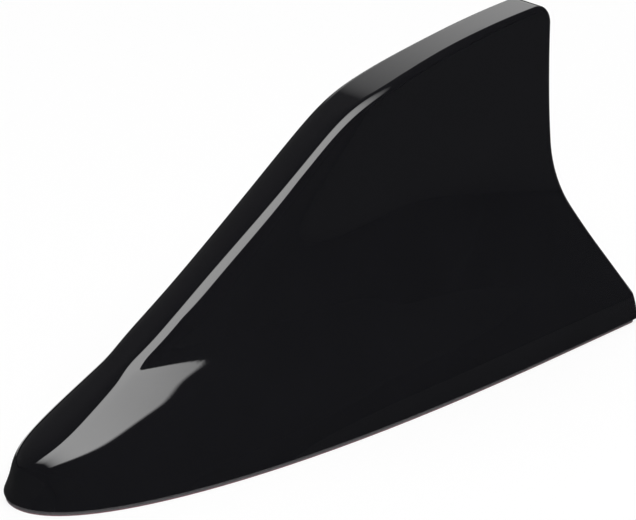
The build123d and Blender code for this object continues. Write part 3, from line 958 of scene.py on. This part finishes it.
class AERIAL_OT_build_stage(bpy.types.Operator):
    """Make the pale floor, the lamps, the dark cards and the camera"""

    bl_idname = "aerial.build_stage"
    bl_label = "Build stage"

    def execute(self, context):
        settings = context.scene.aerial_stage
        self.floor(context, settings)
        self.dark_cards(context)
        self.room(context, settings)
        key = self.lamp(context, "key_box", KEY_TURN, KEY_SPREAD, settings.key_strength)
        self.hot_centre(key.data, KEY_LOSS, KEY_FADE)
        key.visible_camera = False
        fill = self.lamp(context, "floor_fill", FILL_TURN, FILL_SPREAD, settings.fill_strength)
        fill.visible_camera = False
        fill.visible_glossy = False
        self.camera(context, settings)
        return {"FINISHED"}

    def floor(self, context, settings):
        """A disc whose edge turns up in a low cove."""
        cove_steps = 12
        turn_steps = 96
        cove = settings.cove_height
        profile = [Vector((0.0, 0.0, 0.0)), Vector((settings.floor_radius, 0.0, 0.0))]
        for step in range(1, cove_steps + 1):
            angle = math.radians(90.0 * step / cove_steps)
            reach = settings.floor_radius + cove * math.sin(angle)
            profile.append(Vector((reach, 0.0, cove * (1.0 - math.cos(angle)))))
        form = bmesh.new()
        points = [form.verts.new(place) for place in profile]
        edges = [form.edges.new(pair) for pair in zip(points, points[1:])]
        bmesh.ops.spin(
            form,
            geom=points + edges,
            cent=(0.0, 0.0, 0.0),
            axis=(0.0, 0.0, 1.0),
            dvec=(0.0, 0.0, 0.0),
            angle=math.tau,
            steps=turn_steps,
        )
        bmesh.ops.remove_doubles(form, verts=form.verts, dist=0.0001)
        bmesh.ops.recalc_face_normals(form, faces=form.faces)
        mesh = bpy.data.meshes.new("pale_floor")
        form.to_mesh(mesh)
        form.free()
        mesh.shade_smooth()
        mesh.materials.append(self.floor_paint(settings))
        floor = bpy.data.objects.new("pale_floor", mesh)
        context.scene.collection.objects.link(floor)

    def floor_paint(self, settings):
        """Pale paint, part of which is plain white to the camera and in reflections."""
        finish = new_finish("pale_floor_paint")
        cloud = finish.noise(scale=3.0, detail=2.0)
        tone = finish.mix(cloud, rgba(settings.floor_colour, 0.99), rgba(settings.floor_colour, 1.01))
        paint = finish.principled(Base_Color=tone, Roughness=0.85 + 0.1 * cloud, Specular_IOR_Level=0.1)
        white = finish.node("ShaderNodeEmission", inputs={"Color": (1.0, 1.0, 1.0, 1.0), "Strength": 1.0})
        light = finish.node("ShaderNodeLightPath").outputs
        seen = Value(finish, light["Is Camera Ray"]).highest(light["Is Glossy Ray"])
        seen = seen.highest(light["Is Transmission Ray"])
        mixed = finish.node(
            "ShaderNodeMixShader", inputs={0: settings.floor_glow * seen, 1: paint, 2: white.outputs[0]}
        )
        return finish.close(mixed.outputs[0])

    def dark_cards(self, context):
        """Matt black cards on the floor on both sides of the fin, which only reflections see."""
        lift = 0.0004
        form = bmesh.new()
        for outline in DARK_CARDS:
            floor = [form.verts.new((x, y, lift)) for x, y, _ in outline]
            form.faces.new(floor)
            for start, (_, _, wall) in enumerate(outline):
                if wall:
                    end = (start + 1) % len(outline)
                    tops = [form.verts.new((*floor[corner].co.xy, wall)) for corner in (start, end)]
                    form.faces.new((floor[start], tops[0], tops[1], floor[end]))
        mesh = bpy.data.meshes.new("dark_cards")
        form.to_mesh(mesh)
        form.free()
        finish = new_finish("matt_black_card")
        fibre = finish.noise(scale=900.0, detail=2.0)
        tone = finish.mix(fibre, (0.020, 0.020, 0.020, 1.0), (0.026, 0.026, 0.026, 1.0))
        mesh.materials.append(finish.surface(Base_Color=tone, Roughness=0.95, Specular_IOR_Level=0.0))
        card = bpy.data.objects.new("dark_cards", mesh)
        context.scene.collection.objects.link(card)
        card.visible_camera = False
        card.visible_diffuse = False
        card.visible_shadow = False
        card.visible_transmission = False

    def room(self, context, settings):
        """A dim room, lighter on the far side, with one soft glow behind the tail."""
        world = bpy.data.worlds.new("dim_room")
        finish = Finish(world)
        way = finish.node("ShaderNodeTexCoord").outputs["Generated"]
        glow_way = (0.644, 0.667, 0.375)
        spread = 0.08
        far_gain = 2.5
        aim = finish.node("ShaderNodeVectorMath", {"operation": "DOT_PRODUCT"}, {0: way, 1: glow_way})
        off = 1.0 - Value(finish, aim.outputs["Value"])
        far = finish.node("ShaderNodeSeparateXYZ", inputs={"Vector": way}).outputs["Y"]
        walls = settings.room_strength * (1.0 + far_gain * Value(finish, far).highest(0.0))
        strength = walls + settings.back_strength * (1.0 - off / spread).highest(0.0)
        background = finish.node("ShaderNodeBackground", inputs={"Strength": strength})
        finish.node("ShaderNodeOutputWorld", inputs={"Surface": background.outputs[0]})
        context.scene.world = world

    def lamp(self, context, name, turn, spread, brightness):
        """A rectangular soft box that faces the part from an azimuth, an elevation and a roll."""
        distance = 1.5
        aim = Vector((0.0, 0.0, 0.035))
        azimuth, elevation, roll = (math.radians(angle) for angle in turn)
        width, height = (2.0 * distance * math.tan(math.radians(angle)) for angle in spread)
        data = bpy.data.lights.new(name, "AREA")
        data.shape = "RECTANGLE"
        data.size = width
        data.size_y = height
        data.energy = brightness * math.pi * width * height
        level = math.cos(elevation)
        back = Vector((math.cos(azimuth) * level, math.sin(azimuth) * level, math.sin(elevation)))
        across = Vector((0.0, 0.0, 1.0)).cross(back).normalized()
        up = back.cross(across)
        side = across * math.cos(roll) + up * math.sin(roll)
        axes = Matrix((side, back.cross(side), back)).transposed()
        box = bpy.data.objects.new(name, data)
        box.location = aim + back * distance
        box.rotation_euler = axes.to_euler()
        context.scene.collection.objects.link(box)
        return box

    def hot_centre(self, data, loss, soft_edge):
        """Dims a soft box from its middle to its short ends, and fades out its two long edges."""
        finish = Finish(data)
        place = finish.node("ShaderNodeNewGeometry").outputs["Parametric"]
        shares = finish.node("ShaderNodeSeparateXYZ", inputs={"Vector": place}).outputs
        across = 2.0 * Value(finish, shares["X"]) - 1.0
        along = 2.0 * Value(finish, shares["Y"]) - 1.0
        fade = ((1.0 - abs(along)) / soft_edge).lowest(1.0)
        strength = fade * (1.0 - loss * across * across).highest(0.0)
        glow = finish.node("ShaderNodeEmission", inputs={"Strength": strength})
        finish.node("ShaderNodeOutputLight", inputs={"Surface": glow.outputs[0]})

    def camera(self, context, settings):
        """The photograph's camera, looking past the nose from the right and above."""
        azimuth = math.radians(CAMERA_AZIMUTH)
        elevation = math.radians(CAMERA_ELEVATION)
        level = math.cos(elevation)
        back = Vector((math.sin(azimuth) * level, -math.cos(azimuth) * level, math.sin(elevation)))
        data = bpy.data.cameras.new("photo_camera")
        data.lens = settings.lens
        data.sensor_width = 36.0
        camera = bpy.data.objects.new("photo_camera", data)
        camera.location = CAMERA_PLACE
        camera.rotation_euler = back.to_track_quat("Z", "Y").to_euler()
        context.scene.collection.objects.link(camera)
        context.scene.camera = camera
        context.scene.view_settings.view_transform = "Standard"


class AERIAL_PT_sidebar(bpy.types.Panel):
    """Lists the aerial's settings and steps"""

    bl_idname = "AERIAL_PT_sidebar"
    bl_label = "Shark fin aerial"
    bl_space_type = "VIEW_3D"
    bl_region_type = "UI"
    bl_category = "Aerial"

    def draw(self, context):
        for group, operators in STEPS:
            box = self.layout.box()
            settings = getattr(context.scene, group)
            for key in type(settings).__annotations__:
                box.prop(settings, key)
            for operator in operators:
                box.operator(operator)


STEPS = (
    ("aerial_cover", ("aerial.build_cover",)),
    ("aerial_foot", ("aerial.dress_foot",)),
    ("aerial_boards", ("aerial.dress_boards", "aerial.dress_components", "aerial.dress_screws")),
    ("aerial_stage", ("aerial.build_stage",)),
)
GROUPS = {
    "aerial_cover": CoverSettings,
    "aerial_foot": FootSettings,
    "aerial_boards": BoardSettings,
    "aerial_stage": StageSettings,
}
OPERATORS = (
    AERIAL_OT_build_cover,
    AERIAL_OT_dress_foot,
    AERIAL_OT_dress_boards,
    AERIAL_OT_dress_components,
    AERIAL_OT_dress_screws,
    AERIAL_OT_build_stage,
)


def register():
    for name, group in GROUPS.items():
        bpy.utils.register_class(group)
        setattr(bpy.types.Scene, name, PointerProperty(type=group))
    for operator in OPERATORS:
        bpy.utils.register_class(operator)
    bpy.utils.register_class(AERIAL_PT_sidebar)


def unregister():
    bpy.utils.unregister_class(AERIAL_PT_sidebar)
    for operator in reversed(OPERATORS):
        bpy.utils.unregister_class(operator)
    for name, group in reversed(GROUPS.items()):
        delattr(bpy.types.Scene, name)
        bpy.utils.unregister_class(group)


def main():
    """Registers the add-on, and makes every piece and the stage."""
    register()
    bpy.ops.aerial.build_cover()
    bpy.ops.aerial.dress_foot()
    bpy.ops.aerial.dress_boards()
    bpy.ops.aerial.dress_components()
    bpy.ops.aerial.dress_screws()
    bpy.ops.aerial.build_stage()


if __name__ == "__main__":
    main()
